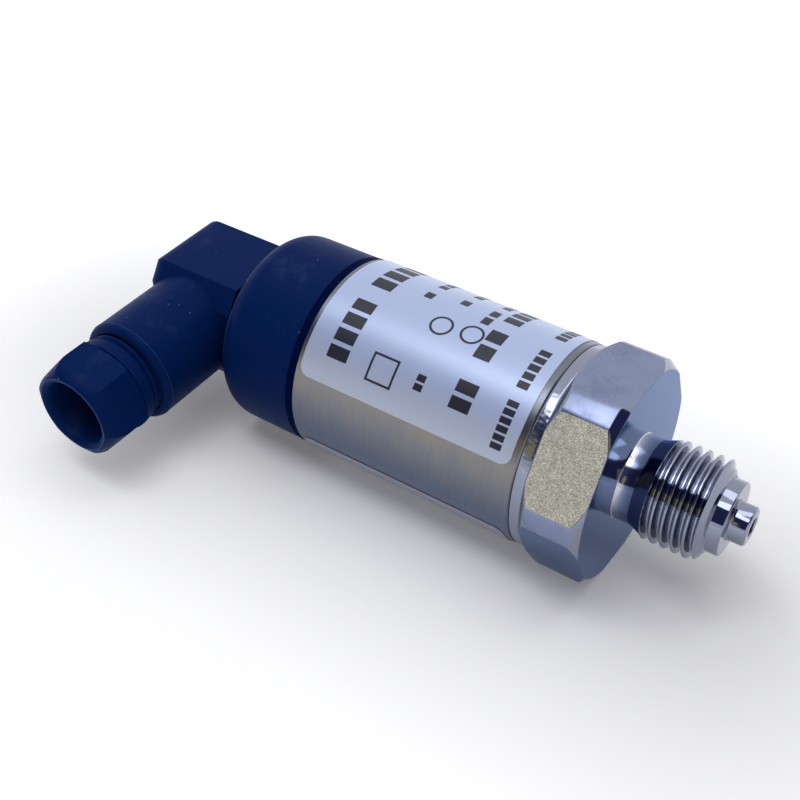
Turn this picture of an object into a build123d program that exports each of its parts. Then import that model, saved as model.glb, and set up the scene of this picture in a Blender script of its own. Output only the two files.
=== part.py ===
from build123d import *
import math
import os

# A pressure transmitter lying on a flat of its hexagon. Millimetres.
# The stem runs along X, thread toward +X. x = 0 is the sealing face at the end of the pilot.
# +Z is square to a hexagon flat. The plug's gland points to -Y and plug_turn below level.

# Threaded stem
spigot_r = 2.5
spigot_tip_x = 2.67
spigot_chamfer = 0.4
channel_r = 1.25
pilot_r = 4.75
pilot_chamfer = 0.6
pilot_back_x = -1.5
thread_r = 6.52
thread_front_r = 5.3
thread_front_x = -2.8
thread_back_x = -9.0
neck_r = 5.6
neck_front_x = -10.85
neck_root = 0.3

# Case tube; hexagon, collar, register, board carrier and head all follow its radius
tube_outer_r = 13.5
tube_wall = 1.0
tube_inner_r = tube_outer_r - tube_wall
tube_back_x = -54.92

# Hexagon, turned down so that its corners are short round lands; its flats are flush with the tube
hex_front_x = -13.0
hex_length = 8.06
hex_back_x = hex_front_x - hex_length
hex_across_flats = 2 * tube_outer_r
land_r = tube_outer_r + 1.325
hex_face_r = tube_outer_r + 0.37
hex_chamfer_length = 1.04

# Weld collar and the register that locates the tube
collar_r = tube_outer_r - 0.05
register_r = tube_inner_r - 0.05
collar_back_x = hex_back_x - 1.64
register_length = 2.5
register_back_x = collar_back_x - register_length
channel_end_x = -17.6
cone_end_x = -19.4

# Label, angles measured from -Y toward +Z
label_thickness = 0.1
label_front_x = collar_back_x - 0.94
label_back_x = tube_back_x + 0.62
label_start_deg = 19.0
label_end_deg = 333.0
label_corner_r = 1.4

# Sensor cell in a counterbore of the stem
cell_flange_r = 9.0
cell_seat_clearance = 0.05
cell_seat_x = register_back_x + 1.2
cell_flange_back_x = cell_seat_x - 1.4
cell_body_r = 7.5
cell_cup_r = 4.4
cell_back_x = -30.2
diaphragm_thickness = 0.5
film_r = 5.0
film_thickness = 0.12

# Board carrier and board
carrier_outer_r = tube_inner_r - 0.2
carrier_inner_r = cell_body_r + 0.05
carrier_back_x = cell_back_x - 1.8
post_length = 8.0
post_back_x = carrier_back_x - post_length
board_half_y = tube_inner_r - 3.5
post_inner_y = board_half_y - 1.0
post_outer_y = board_half_y + 1.8
post_half_z = 2.4
board_thickness = 1.0
board_front_x = carrier_back_x - 0.2
board_length = 20.0
board_back_x = board_front_x - board_length
board_slot_clearance = 0.05
board_edge_clearance = 0.1
chip_size = (5.0, 5.0, 1.4)
chip_x = board_front_x - 7.3
capacitor_size = (2.0, 1.25, 0.9)
capacitor_y = 5.5
capacitor_spacing = 3.0
first_capacitor_x = board_front_x - 12.3
capacitor_xs = (first_capacitor_x, first_capacitor_x - capacitor_spacing)
ribbon_half_width = 2.0
ribbon_thickness = 0.15
ribbon_lap = 3.8
lead_r = 0.45
lead_front_x = board_back_x + 1.6
lead_lift = 0.02

# Head
spigot_front_x = tube_back_x + 4.92
head_spigot_r = tube_inner_r - 0.1
head_bore_r = head_spigot_r - 2.2
seal_groove_front_x = spigot_front_x - 1.4
seal_groove_back_x = seal_groove_front_x - 1.8
seal_groove_r = head_spigot_r - 1.15
seal_section = 1.22
head_lip_r = tube_outer_r + 0.05
head_lip_back_x = tube_back_x - 1.0
head_r = tube_outer_r + 0.15
head_back_x = -67.60
head_shoulder_r = 2.2
head_edge_r = head_r - 1.79
head_wall_front_x = head_back_x + 3.1

# Contact base, its bush and its blades
base_boss_r = 8.5
head_opening_r = base_boss_r + 0.05
base_flange_r = head_bore_r - 0.1
base_flange_front_x = head_wall_front_x + 3.5
blade_tail_x = base_flange_front_x + 2.1
bush_r = 2.2
bush_bore_end_x = base_flange_front_x - 1.0
blade_width = 2.8
blade_thickness = 0.5
blade_offset = 4.0
earth_offset = 4.7
blade_tip_chamfer = 0.15

# Plug
plug_turn = 5.26
gasket_inset = 0.4
gasket_thickness = 2.13
block_front_x = head_back_x - gasket_thickness
block_length = 15.27
block_back_x = block_front_x - block_length
block_half_y = 7.9
block_half_z = 8.1
block_corner_y = 5.8
block_corner_z = 5.0
block_edge_r = 2.5
block_wall = 1.3
cavity_back_x = block_back_x + 3.1
barrel_x = block_front_x - 7.9
barrel_r = 7.35
barrel_end = 20.4
barrel_edge_r = 1.0
bush_back_x = block_front_x - 0.87
blade_tip_x = block_front_x - 7.17
earth_tip_x = blade_tip_x - 0.5
insert_clearance = 0.2
insert_front_x = block_front_x - 0.17
insert_floor_x = insert_front_x - 0.5
insert_length = 8.0
insert_back_x = insert_front_x - insert_length
sleeve_width = 3.4
sleeve_thickness = 1.5
sleeve_slot_width = 3.0
sleeve_slot_thickness = 0.6
sleeve_slot_end_x = insert_back_x + 0.2
cage_thickness = 3.0
cage_back_x = insert_back_x - 2.4
terminal_screw_r = 0.8
terminal_head_r = 1.4
terminal_head_height = 0.9
terminal_hole_clearance = 0.05

# Plug screw, metric 2.5
screw_r = 1.25
bush_bore_r = screw_r + 0.05
screw_tip_x = bush_back_x + 3.7
screw_head_r = 2.25
screw_head_height = 1.6
screw_slot_width = 0.6
screw_slot_depth = 0.8
screw_hole_r = screw_r + 0.2
insert_hole_r = screw_r + 0.45
washer_r = screw_head_r + 0.4
washer_hole_r = screw_r + 0.1
washer_thickness = 0.4
recess_r = washer_r + 0.2
recess_floor_x = block_back_x + 1.6

# Gland, lengths measured from the stem axis along the barrel
passage_r = 4.2
seal_seat = block_half_y + 1.0
gland_bore_r = barrel_r - 1.05
seal_r = gland_bore_r - 0.4
seal_bore_r = 2.7
seal_end = seal_seat + 5.1
thrust_r = gland_bore_r - 0.3
nut_bore_r = 3.5
thrust_hole_r = nut_bore_r
thrust_thickness = 0.8
thrust_end = seal_end + thrust_thickness
shank_r = gland_bore_r - 0.08
nut_collar_front = barrel_end + 1.5
nut_collar_step = barrel_end + 2.5
nut_collar_r = 6.45
nut_back = barrel_end + 3.3
nut_back_r = 6.62
nut_across_flats = 12.8
nut_corner_r = 7.39
nut_chamfer_end = nut_back + 0.45
nut_rim_start = nut_back + 4.3
nut_rim = nut_back + 4.9
nut_rim_r = 7.04
nut_front = nut_back + 6.65
nut_opening_r = 5.46
nut_dish_end = nut_front - 3.75
nut_turn = 11.3

os.makedirs("parts", exist_ok=True)


def turned(points):
    """A solid turned about the stem axis from (x, radius) points."""
    return revolve(make_face(Polyline(*points, close=True)), Axis.X)


def gland_turned(points):
    """A solid turned about the gland axis from (length, radius) points, before plug_turn."""
    outline = [(barrel_x + r, -b) for b, r in points]
    return revolve(make_face(Polyline(*outline, close=True)), Axis((barrel_x, 0, 0), (0, -1, 0)))


def block(x0, x1, y0, y1, z0, z1):
    """A box between two corners."""
    size = (abs(x1 - x0), abs(y1 - y0), abs(z1 - z0))
    middle = ((x0 + x1) / 2, (y0 + y1) / 2, (z0 + z1) / 2)
    return Pos(*middle) * Box(*size)


def rod(x0, x1, r, y=0.0, z=0.0):
    """A cylinder along X."""
    return Pos((x0 + x1) / 2, y, z) * Rot(0, 90, 0) * Cylinder(r, abs(x1 - x0))


def plug_prism(x0, x1, inset):
    """The plug's eight-sided plan, moved in by inset, run from x0 to x1."""
    ny = block_half_z - block_corner_z
    nz = block_half_y - block_corner_y
    size = math.hypot(ny, nz)
    ny, nz = ny / size, nz / size
    reach = ny * block_corner_y + nz * block_half_z - inset
    hy = block_half_y - inset
    hz = block_half_z - inset
    cy = (reach - nz * hz) / ny
    cz = (reach - ny * hy) / nz
    corners = [(cy, hz), (hy, cz), (hy, -cz), (cy, -hz), (-cy, -hz), (-hy, -cz), (-hy, cz), (-cy, hz)]
    plan = make_face(Polyline(*[(x0, y, z) for y, z in corners], close=True))
    return extrude(plan, amount=abs(x1 - x0), dir=(-1, 0, 0))


def seated(solid):
    """A plug piece turned to where the plug stands on the stem."""
    return Rot(plug_turn, 0, 0) * solid


def save(name, solid):
    export_step(solid, "parts/" + name + ".step")


# Stem: turned outline, crossed with the hexagon bar over the hexagon's length
stem = turned([
    (spigot_tip_x, channel_r),
    (spigot_tip_x, spigot_r - spigot_chamfer),
    (spigot_tip_x - spigot_chamfer, spigot_r),
    (0, spigot_r),
    (0, pilot_r - pilot_chamfer),
    (-pilot_chamfer, pilot_r),
    (pilot_back_x, pilot_r),
    (pilot_back_x, thread_front_r),
    (thread_front_x, thread_r),
    (thread_back_x, thread_r),
    (neck_front_x, neck_r),
    (hex_front_x + neck_root, neck_r),
    (hex_front_x, neck_r + neck_root),
    (hex_front_x, hex_face_r),
    (hex_front_x - hex_chamfer_length, land_r),
    (hex_back_x + hex_chamfer_length, land_r),
    (hex_back_x, hex_face_r),
    (hex_back_x, collar_r),
    (collar_back_x, collar_r),
    (collar_back_x, register_r),
    (register_back_x, register_r),
    (register_back_x, cell_flange_r + cell_seat_clearance),
    (cell_seat_x, cell_flange_r + cell_seat_clearance),
    (cell_seat_x, cell_cup_r),
    (cone_end_x, cell_cup_r),
    (channel_end_x, channel_r),
])
flat_half = hex_across_flats / 2
corner = flat_half / math.cos(math.radians(30))
hex_points = [(corner * math.cos(math.radians(a)), corner * math.sin(math.radians(a))) for a in range(0, 360, 60)]
hex_plan = make_face(Polyline(*[(hex_front_x, y, z) for y, z in hex_points], close=True))
hex_bar = extrude(hex_plan, amount=hex_length, dir=(-1, 0, 0))
trim = rod(hex_front_x, hex_back_x, 1.5 * corner) - hex_bar
save("process_connection", stem - trim)

# Case tube, butted on the weld collar
case_tube = rod(collar_back_x, tube_back_x, tube_outer_r) - rod(collar_back_x, tube_back_x, tube_inner_r)
save("case_tube", case_tube)

# Label: a strip wrapped round the tube, ends apart
label_face = make_face(Polyline(
    (label_front_x, -tube_outer_r),
    (label_front_x, -tube_outer_r - label_thickness),
    (label_back_x, -tube_outer_r - label_thickness),
    (label_back_x, -tube_outer_r),
    close=True,
))
# Turning about -X takes -Y toward +Z
label_strip = revolve(label_face, -Axis.X, revolution_arc=label_end_deg - label_start_deg)
label_strip = Rot(-label_start_deg, 0, 0) * label_strip
corner_edges = [e for e in label_strip.edges() if e.length < label_thickness * 1.5]
type_label = fillet(corner_edges, label_corner_r)
save("type_label", type_label)

# Sensor cell: a cup with its diaphragm away from the pressure
sensor_cell = turned([
    (cell_seat_x, cell_cup_r),
    (cell_seat_x, cell_flange_r),
    (cell_flange_back_x, cell_flange_r),
    (cell_flange_back_x, cell_body_r),
    (cell_back_x, cell_body_r),
    (cell_back_x, 0),
    (cell_back_x + diaphragm_thickness, 0),
    (cell_back_x + diaphragm_thickness, cell_cup_r),
])
save("sensor_cell", sensor_cell)
film_back_x = cell_back_x - film_thickness
save("sensor_film", rod(cell_back_x, film_back_x, film_r))

# Board carrier: a ring with two slotted posts
carrier = rod(cell_flange_back_x, carrier_back_x, carrier_outer_r)
carrier -= rod(cell_flange_back_x, carrier_back_x, carrier_inner_r)
slot_half = board_thickness / 2 + board_slot_clearance
for side in (-1, 1):
    carrier += block(carrier_back_x, post_back_x, side * post_inner_y, side * post_outer_y, -post_half_z, post_half_z)
    slot_edge = side * (board_half_y + board_edge_clearance)
    carrier -= block(carrier_back_x, post_back_x, 0, slot_edge, -slot_half, slot_half)
save("cell_collar", carrier)

# Board and what is soldered on it
board_top = board_thickness / 2
save("circuit_board", block(board_front_x, board_back_x, -board_half_y, board_half_y, -board_top, board_top))
chip = Pos(chip_x, 0, board_top + chip_size[2] / 2) * Box(*chip_size)
save("amplifier_chip", chip)
capacitors = []
for x in capacitor_xs:
    for y in (-capacitor_y, capacitor_y):
        capacitors.append(Pos(x, y, board_top + capacitor_size[2] / 2) * Box(*capacitor_size))
save("board_capacitors", Compound(children=capacitors))

# Flexible strip from the film to the underside of the board
ribbon_bend_x = board_front_x - 0.8
ribbon_end_x = board_front_x - ribbon_lap
ribbon_outline = [
    (film_back_x, -4.0),
    (film_back_x, -1.9),
    (ribbon_bend_x, -board_top),
    (ribbon_end_x, -board_top),
    (ribbon_end_x, -board_top - ribbon_thickness),
    (ribbon_bend_x - 0.05, -board_top - ribbon_thickness),
    (film_back_x - ribbon_thickness, -2.05),
    (film_back_x - ribbon_thickness, -4.0),
]
ribbon_face = make_face(Polyline(*[(x, -ribbon_half_width, z) for x, z in ribbon_outline], close=True))
save("cell_ribbon", extrude(ribbon_face, amount=2 * ribbon_half_width, dir=(0, 1, 0)))


def on_plug(y, z):
    """A point of the plug's plan, turned with the plug."""
    a = math.radians(plug_turn)
    return (y * math.cos(a) - z * math.sin(a), y * math.sin(a) + z * math.cos(a))


def lead(start_y, start_z, end_y, end_z):
    """One insulated lead: off the board along X, across, and onto a contact tail along X."""
    y, z = on_plug(end_y, end_z)
    start = (lead_front_x, start_y, start_z)
    bend_1 = (board_back_x - 1.0, start_y, start_z)
    bend_2 = (blade_tail_x + 1.4, y, z)
    path = Polyline(start, bend_1, bend_2, (blade_tail_x, y, z))
    section = Plane(origin=start, z_dir=(-1, 0, 0)) * RegularPolygon(lead_r, 8)
    return sweep(section, path=path, transition=Transition.RIGHT)


lead_z = board_top + lead_r + lead_lift
lead_y = board_half_y / 2
head_leads = [
    lead(-lead_y, lead_z, -earth_offset, 0),
    lead(0.0, lead_z, 0, blade_offset),
    lead(0.0, -lead_z, 0, -blade_offset),
    lead(lead_y, lead_z, blade_offset, 0),
]
save("head_leads", Compound(children=head_leads))

# Head: a cup whose spigot goes into the tube; its rear shoulder is a quarter round cut short
shoulder_r0 = head_r - head_shoulder_r
shoulder_end = math.acos((head_edge_r - shoulder_r0) / head_shoulder_r)
shoulder_x = head_back_x + head_shoulder_r * math.sin(shoulder_end)
shoulder_middle = (
    shoulder_x - head_shoulder_r * math.sin(shoulder_end / 2),
    shoulder_r0 + head_shoulder_r * math.cos(shoulder_end / 2),
)
head_front = Polyline(
    (head_back_x, head_edge_r),
    (head_back_x, head_opening_r),
    (head_wall_front_x, head_opening_r),
    (head_wall_front_x, head_bore_r),
    (spigot_front_x, head_bore_r),
    (spigot_front_x, head_spigot_r),
    (seal_groove_front_x, head_spigot_r),
    (seal_groove_front_x, seal_groove_r),
    (seal_groove_back_x, seal_groove_r),
    (seal_groove_back_x, head_spigot_r),
    (tube_back_x, head_spigot_r),
    (tube_back_x, head_lip_r),
    (head_lip_back_x, head_lip_r),
    (head_lip_back_x, head_r),
    (shoulder_x, head_r),
)
head_round = ThreePointArc((shoulder_x, head_r), shoulder_middle, (head_back_x, head_edge_r))
save("head_cap", revolve(make_face(head_front.edges() + head_round.edges()), Axis.X))
seal_middle_x = (seal_groove_front_x + seal_groove_back_x) / 2
seal_middle_r = seal_groove_r + seal_section / 2
seal_ring = []
for k in range(8):
    a = math.radians(22.5 + 45 * k)
    seal_ring.append((seal_middle_x + seal_section / 2 * math.cos(a), seal_middle_r + seal_section / 2 * math.sin(a)))
save("head_seal", turned(seal_ring))

# Places of the four contacts: offset along plug plan, and whether the blade's width runs along Z
contacts = {
    "1": (0, blade_offset, False, blade_tip_x),
    "2": (0, -blade_offset, False, blade_tip_x),
    "3": (blade_offset, 0, True, blade_tip_x),
    "earth": (-earth_offset, 0, True, earth_tip_x),
}


def contact_box(x0, x1, place, width, thickness):
    """A box round a contact's place, its width across the spoke and its thickness along it."""
    y, z, along_z, tip = place
    if along_z:
        return block(x0, x1, y - thickness / 2, y + thickness / 2, z - width / 2, z + width / 2)
    return block(x0, x1, y - width / 2, y + width / 2, z - thickness / 2, z + thickness / 2)


# Contact base with the blades and the bush moulded in
base = rod(base_flange_front_x, head_wall_front_x, base_flange_r) + rod(head_wall_front_x, head_back_x, base_boss_r)
base -= rod(base_flange_front_x, head_back_x, bush_r)
for place in contacts.values():
    base -= contact_box(base_flange_front_x, head_back_x, place, blade_width, blade_thickness)
save("contact_base", seated(base))
bush = rod(base_flange_front_x, bush_back_x, bush_r) - rod(bush_bore_end_x, bush_back_x, bush_bore_r)
save("threaded_bush", seated(bush))
pin_names = {"1": "contact_pin_1", "2": "contact_pin_2", "3": "contact_pin_3", "earth": "earth_pin"}
for key, place in contacts.items():
    blade = contact_box(blade_tail_x, place[3], place, blade_width, blade_thickness)
    tip_face = blade.faces().sort_by(Axis.X)[0]
    blade = chamfer(tip_face.edges(), blade_tip_chamfer)
    save(pin_names[key], seated(blade))

# Gasket between head and plug
gasket = plug_prism(head_back_x, block_front_x, gasket_inset) - rod(head_back_x, block_front_x, bush_r + 0.2)
for place in contacts.values():
    gasket -= contact_box(head_back_x, block_front_x, place, blade_width + 0.4, blade_thickness + 0.4)
save("flat_gasket", seated(gasket))

# Plug housing: block and barrel in one moulding
outer = plug_prism(block_front_x, block_back_x, 0)
outer = fillet(outer.faces().sort_by(Axis.X)[0].edges(), block_edge_r)
barrel = gland_turned([(0, 0), (0, barrel_r), (barrel_end, barrel_r), (barrel_end, 0)])
barrel = fillet(barrel.faces().sort_by(Axis.Y)[0].edges(), barrel_edge_r)
housing = outer + (barrel & block(block_front_x, block_back_x, 0, -barrel_end, -barrel_r, barrel_r))
housing -= plug_prism(block_front_x, cavity_back_x, block_wall)
housing -= gland_turned([
    (0, 0),
    (0, passage_r),
    (seal_seat, passage_r),
    (seal_seat, gland_bore_r),
    (barrel_end, gland_bore_r),
    (barrel_end, 0),
])
housing -= rod(cavity_back_x, recess_floor_x, screw_hole_r)
housing -= rod(recess_floor_x, block_back_x, recess_r)
save("plug_housing", seated(housing))

# Terminal insert with its pockets, snapped into the housing
insert = plug_prism(insert_front_x, insert_back_x, block_wall + insert_clearance)
insert -= rod(insert_front_x, insert_back_x, insert_hole_r)
insert -= rod(insert_front_x, bush_back_x - 0.3, bush_r + 0.2)
for place in contacts.values():
    insert -= contact_box(insert_front_x, insert_floor_x, place, sleeve_slot_width, sleeve_slot_thickness)
    insert -= contact_box(insert_floor_x, insert_back_x, place, sleeve_width, sleeve_thickness)
save("terminal_insert", seated(insert))

# Sockets: a sleeve for the blade and a cage for the conductor, and their clamp screws
socket_names = {
    "1": "socket_contact_1",
    "2": "socket_contact_2",
    "3": "socket_contact_3",
    "earth": "earth_socket",
}
clamp_screws = []
for key, place in contacts.items():
    socket = contact_box(insert_floor_x, insert_back_x, place, sleeve_width, sleeve_thickness)
    socket -= contact_box(insert_floor_x, sleeve_slot_end_x, place, sleeve_slot_width, sleeve_slot_thickness)
    cage = contact_box(insert_back_x, cage_back_x, place, sleeve_width, cage_thickness)
    hole_r = terminal_screw_r + terminal_hole_clearance
    cage -= rod(insert_back_x - 0.4, cage_back_x, hole_r, place[0], place[1])
    save(socket_names[key], seated(socket + cage))
    clamp = rod(insert_back_x - 0.6, cage_back_x, terminal_screw_r, place[0], place[1])
    clamp += rod(cage_back_x, cage_back_x - terminal_head_height, terminal_head_r, place[0], place[1])
    clamp_screws.append(seated(clamp))
save("terminal_screws", Compound(children=clamp_screws))

# Long screw and its washer
washer_back_x = recess_floor_x - washer_thickness
save("screw_washer", seated(
    rod(recess_floor_x, washer_back_x, washer_r) - rod(recess_floor_x, washer_back_x, washer_hole_r)
))
head_top_x = washer_back_x - screw_head_height
plug_screw = rod(screw_tip_x, washer_back_x, screw_r) + rod(washer_back_x, head_top_x, screw_head_r)
plug_screw -= block(head_top_x + screw_slot_depth, head_top_x, -screw_head_r, screw_head_r, -screw_slot_width / 2, screw_slot_width / 2)
save("plug_screw", seated(plug_screw))

# Gland: rubber seal, thrust washer, nut
save("gland_seal", seated(gland_turned([
    (seal_seat, seal_bore_r),
    (seal_seat, seal_r),
    (seal_end, seal_r),
    (seal_end, seal_bore_r),
])))
save("thrust_washer", seated(gland_turned([
    (seal_end, thrust_hole_r),
    (seal_end, thrust_r),
    (thrust_end, thrust_r),
    (thrust_end, thrust_hole_r),
])))
nut = gland_turned([
    (thrust_end, nut_bore_r),
    (thrust_end, shank_r - 0.5),
    (thrust_end + 0.5, shank_r),
    (nut_collar_front, shank_r),
    (nut_collar_front, nut_collar_r),
    (nut_collar_step, nut_collar_r),
    (nut_collar_step, nut_back_r),
    (nut_back, nut_back_r),
    (nut_chamfer_end, nut_corner_r),
    (nut_rim_start, nut_corner_r),
    (nut_rim, nut_rim_r),
    (nut_rim + 0.7, nut_rim_r - 0.32),
    (nut_rim + 1.25, nut_rim_r - 0.74),
    (nut_front - 0.15, nut_opening_r + 0.39),
    (nut_front, nut_opening_r),
    (nut_front - 0.75, nut_opening_r - 0.36),
    (nut_front - 2.05, nut_opening_r - 0.91),
    (nut_dish_end, nut_bore_r),
])
# Corner angles are measured from -X toward +Z
nut_corner = nut_across_flats / 2 / math.cos(math.radians(30))
nut_points = []
for k in range(6):
    a = math.radians(nut_turn + 60 * k)
    nut_points.append((barrel_x - nut_corner * math.cos(a), -nut_back, nut_corner * math.sin(a)))
nut_plan = make_face(Polyline(*nut_points, close=True))
nut_bar = extrude(nut_plan, amount=nut_front - nut_back, dir=(0, -1, 0))
nut_sleeve = gland_turned([(nut_back, 0), (nut_back, 2 * nut_corner), (nut_front, 2 * nut_corner), (nut_front, 0)])
nut = nut - (nut_sleeve - nut_bar)
save("gland_nut", seated(nut))
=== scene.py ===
import math
import bmesh
import bpy
from mathutils import Matrix, Vector


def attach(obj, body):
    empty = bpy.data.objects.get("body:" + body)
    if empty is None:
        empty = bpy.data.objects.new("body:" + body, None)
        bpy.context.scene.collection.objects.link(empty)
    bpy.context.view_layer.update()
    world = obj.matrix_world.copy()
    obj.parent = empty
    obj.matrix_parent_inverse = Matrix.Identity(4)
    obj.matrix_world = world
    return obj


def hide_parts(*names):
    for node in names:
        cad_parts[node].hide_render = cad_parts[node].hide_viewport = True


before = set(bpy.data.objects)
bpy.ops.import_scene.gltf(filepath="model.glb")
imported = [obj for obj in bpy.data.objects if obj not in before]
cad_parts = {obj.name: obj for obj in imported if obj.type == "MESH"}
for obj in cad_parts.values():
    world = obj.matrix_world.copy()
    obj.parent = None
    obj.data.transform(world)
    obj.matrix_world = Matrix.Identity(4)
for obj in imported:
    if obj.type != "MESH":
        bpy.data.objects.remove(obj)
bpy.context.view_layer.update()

# Stem: the pressure connection in one piece, turned and milled from stainless bar.
# Its hexagon is turned down so that its corners are short round lands; its faces keep the tool's finish.
# The columns of the mesh fall on the edges of the lands, so flats, lands and chamfers all have true edges.
MM = 0.001
# Sizes here and below are in millimetres, x along the stem and r from its axis
HEX_FRONT = -13.0
HEX_BACK = -21.06
HEX_FLAT = 13.5
HEX_FACE_R = 13.87
LAND_R = 14.825
HEX_CHAMFER = 1.04
COLLAR_BACK = -22.70
WELD_CORE_R = 13.2
REGISTER_R = 12.4
REGISTER_BACK = COLLAR_BACK - 1.0
PIN_FRONT = 2.4
PIN_R = 2.5
PILOT_FRONT = 0.15
PILOT_R = 4.75
THREAD_FRONT = -1.5
THREAD_BACK = -8.95
THREAD_CORE_R = 5.4
RUN_OUT_R = 6.32
CONE_BACK = -10.85
NECK_R = 5.6
CHANNEL_R = 1.25
EDGE_BREAK = 0.06


def colour(code):
    """Linear colour from an sRGB hex value."""
    parts = [int(code[i:i + 2], 16) / 255 for i in (1, 3, 5)]
    linear = [c / 12.92 if c <= 0.04045 else ((c + 0.055) / 1.055) ** 2.4 for c in parts]
    return (*linear, 1.0)


def add_node(tree, kind, links=None, **settings):
    """A node with its settings; links gives each input's value, or the socket that feeds it."""
    node = tree.nodes.new(kind)
    for key, value in settings.items():
        setattr(node, key, value)
    for key, value in (links or {}).items():
        if isinstance(value, bpy.types.NodeSocket):
            tree.links.new(value, node.inputs[key])
        else:
            node.inputs[key].default_value = value
    return node


def new_material(name, **values):
    """A material with one Principled shader, its plain values set on the shader's own sockets."""
    material = bpy.data.materials.new(name)
    material.use_nodes = True
    tree = material.node_tree
    shader = tree.nodes["Principled BSDF"]
    for key, value in values.items():
        shader.inputs[key.replace("_", " ")].default_value = value
    return material, tree, shader


def plain_material(name, base, **values):
    """A material of one colour throughout."""
    return new_material(name, Base_Color=colour(base), **values)[0]


def mix_colours(tree, share, plain, other):
    """The socket of a mixed colour: plain where share is 0, the other one where it is 1."""
    mixed = add_node(tree, "ShaderNodeMix", data_type="RGBA")
    tree.links.new(share, mixed.inputs["Factor"])
    ends = [socket for socket in mixed.inputs if socket.type == "RGBA"]
    ends[0].default_value = colour(plain)
    ends[1].default_value = colour(other)
    return [socket for socket in mixed.outputs if socket.type == "RGBA"][0]


def on_stem(x, r, angle):
    """A point round the stem axis; the angle runs from +Y toward +Z, in degrees."""
    a = math.radians(angle)
    return Vector((x * MM, r * MM * math.cos(a), r * MM * math.sin(a)))


def mark_sharp(bm, degrees=20.0):
    """Edges are sharp where their two faces turn by the angle or more, and smooth elsewhere."""
    for edge in bm.edges:
        if len(edge.link_faces) == 2:
            edge.smooth = edge.calc_face_angle(0.0) < math.radians(degrees)


def finish_mesh(bm, name, material):
    """A mesh object from bm: doubles merged, faces turned out, smooth but for its true edges."""
    bmesh.ops.remove_doubles(bm, verts=bm.verts, dist=2e-7)
    bmesh.ops.recalc_face_normals(bm, faces=bm.faces)
    for face in bm.faces:
        face.smooth = True
    mark_sharp(bm)
    mesh = bpy.data.meshes.new(name)
    bm.to_mesh(mesh)
    bm.free()
    mesh.materials.append(material)
    piece = bpy.data.objects.new(name, mesh)
    bpy.context.scene.collection.objects.link(piece)
    return piece


def skin(name, stations, angles, place, material):
    """A closed surface through stations; each is one (x, r) for all angles, or a list with one per angle."""
    bm = bmesh.new()
    rows = []
    for station in stations:
        row = station if isinstance(station, list) else [station] * len(angles)
        rows.append([bm.verts.new(place(x, r, a)) for (x, r), a in zip(row, angles)])
    for low, high in zip(rows, rows[1:] + rows[:1]):
        for i in range(len(angles)):
            j = (i + 1) % len(angles)
            bm.faces.new((low[i], low[j], high[j], high[i]))
    return finish_mesh(bm, name, material)


def break_edges(piece, width):
    """Breaks the piece's true edges as a deburring tool does, and applies the modifier that does it."""
    bevel = piece.modifiers.new("edges", "BEVEL")
    bevel.width = width * MM
    bevel.segments = 2
    bevel.limit_method = "ANGLE"
    bevel.angle_limit = math.radians(33)
    graph = bpy.context.evaluated_depsgraph_get()
    mesh = bpy.data.meshes.new_from_object(piece.evaluated_get(graph))
    piece.modifiers.clear()
    piece.data = mesh
    bm = bmesh.new()
    bm.from_mesh(mesh)
    mark_sharp(bm)
    # A plane face across the stem, of more than 0.1 mm2, stays plane to the light right up to its edges
    for edge in bm.edges:
        if len(edge.link_faces) == 2 and edge.calc_face_angle(0.0) > math.radians(1.5):
            largest = max(face.calc_area() for face in edge.link_faces)
            squareness = max(abs(face.normal.x) for face in edge.link_faces)
            if squareness > 0.9999 and largest > 1e-7:
                edge.smooth = False
    bm.to_mesh(mesh)
    bm.free()


def steel(name, base, roughness, turned=0.0, cloud=0.0, worn=0.0, tint="#FFFFFF"):
    """Turned or milled stainless steel: fine tool marks, faint clouding and the wear of handling."""
    material, tree, shader = new_material(
        name, Base_Color=colour(base), Metallic=1.0, Specular_Tint=colour(tint)
    )
    where = add_node(tree, "ShaderNodeTexCoord").outputs["Object"]
    apart = add_node(tree, "ShaderNodeSeparateXYZ", {"Vector": where})
    around = add_node(tree, "ShaderNodeVectorMath", {0: where, 1: (0.0, 1.0, 1.0)}, operation="MULTIPLY")
    radius = add_node(tree, "ShaderNodeVectorMath", {0: around.outputs[0]}, operation="LENGTH")
    both = add_node(tree, "ShaderNodeCombineXYZ", {"X": apart.outputs["X"], "Y": radius.outputs["Value"]})
    # The tool's feed is about 0.08 mm; it is drawn at 0.15 mm so that it shows
    marks = add_node(tree, "ShaderNodeTexNoise", {
        "Vector": both.outputs[0],
        "Scale": 6600.0,
        "Detail": 2.0,
    })
    clouds = add_node(tree, "ShaderNodeTexNoise", {"Vector": where, "Scale": 260.0, "Detail": 3.0})
    bump = add_node(tree, "ShaderNodeBump", {
        "Height": marks.outputs["Fac"],
        "Strength": turned,
        "Distance": 0.00002,
    })
    tree.links.new(bump.outputs[0], shader.inputs["Normal"])
    rough = add_node(tree, "ShaderNodeMapRange", {
        "Value": clouds.outputs["Fac"],
        "From Min": 0.3,
        "From Max": 0.7,
        "To Min": roughness * (1 - cloud),
        "To Max": roughness * (1 + cloud),
    })
    tree.links.new(rough.outputs[0], shader.inputs["Roughness"])
    if worn:
        # Handling left dull spots of 0.2 to 1 mm, denser in some places than in others
        spots = add_node(tree, "ShaderNodeTexNoise", {
            "Vector": where,
            "Scale": 2600.0,
            "Detail": 4.0,
            "Roughness": 0.8,
        })
        places = add_node(tree, "ShaderNodeMath", {
            0: clouds.outputs["Fac"],
            1: spots.outputs["Fac"],
        }, operation="ADD")
        dull = add_node(tree, "ShaderNodeMapRange", {
            "Value": places.outputs[0],
            "From Min": 1.0,
            "From Max": 1.25,
            "To Max": worn,
        })
        tree.links.new(mix_colours(tree, dull.outputs[0], base, "#3A4056"), shader.inputs["Base Color"])
    return material


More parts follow.
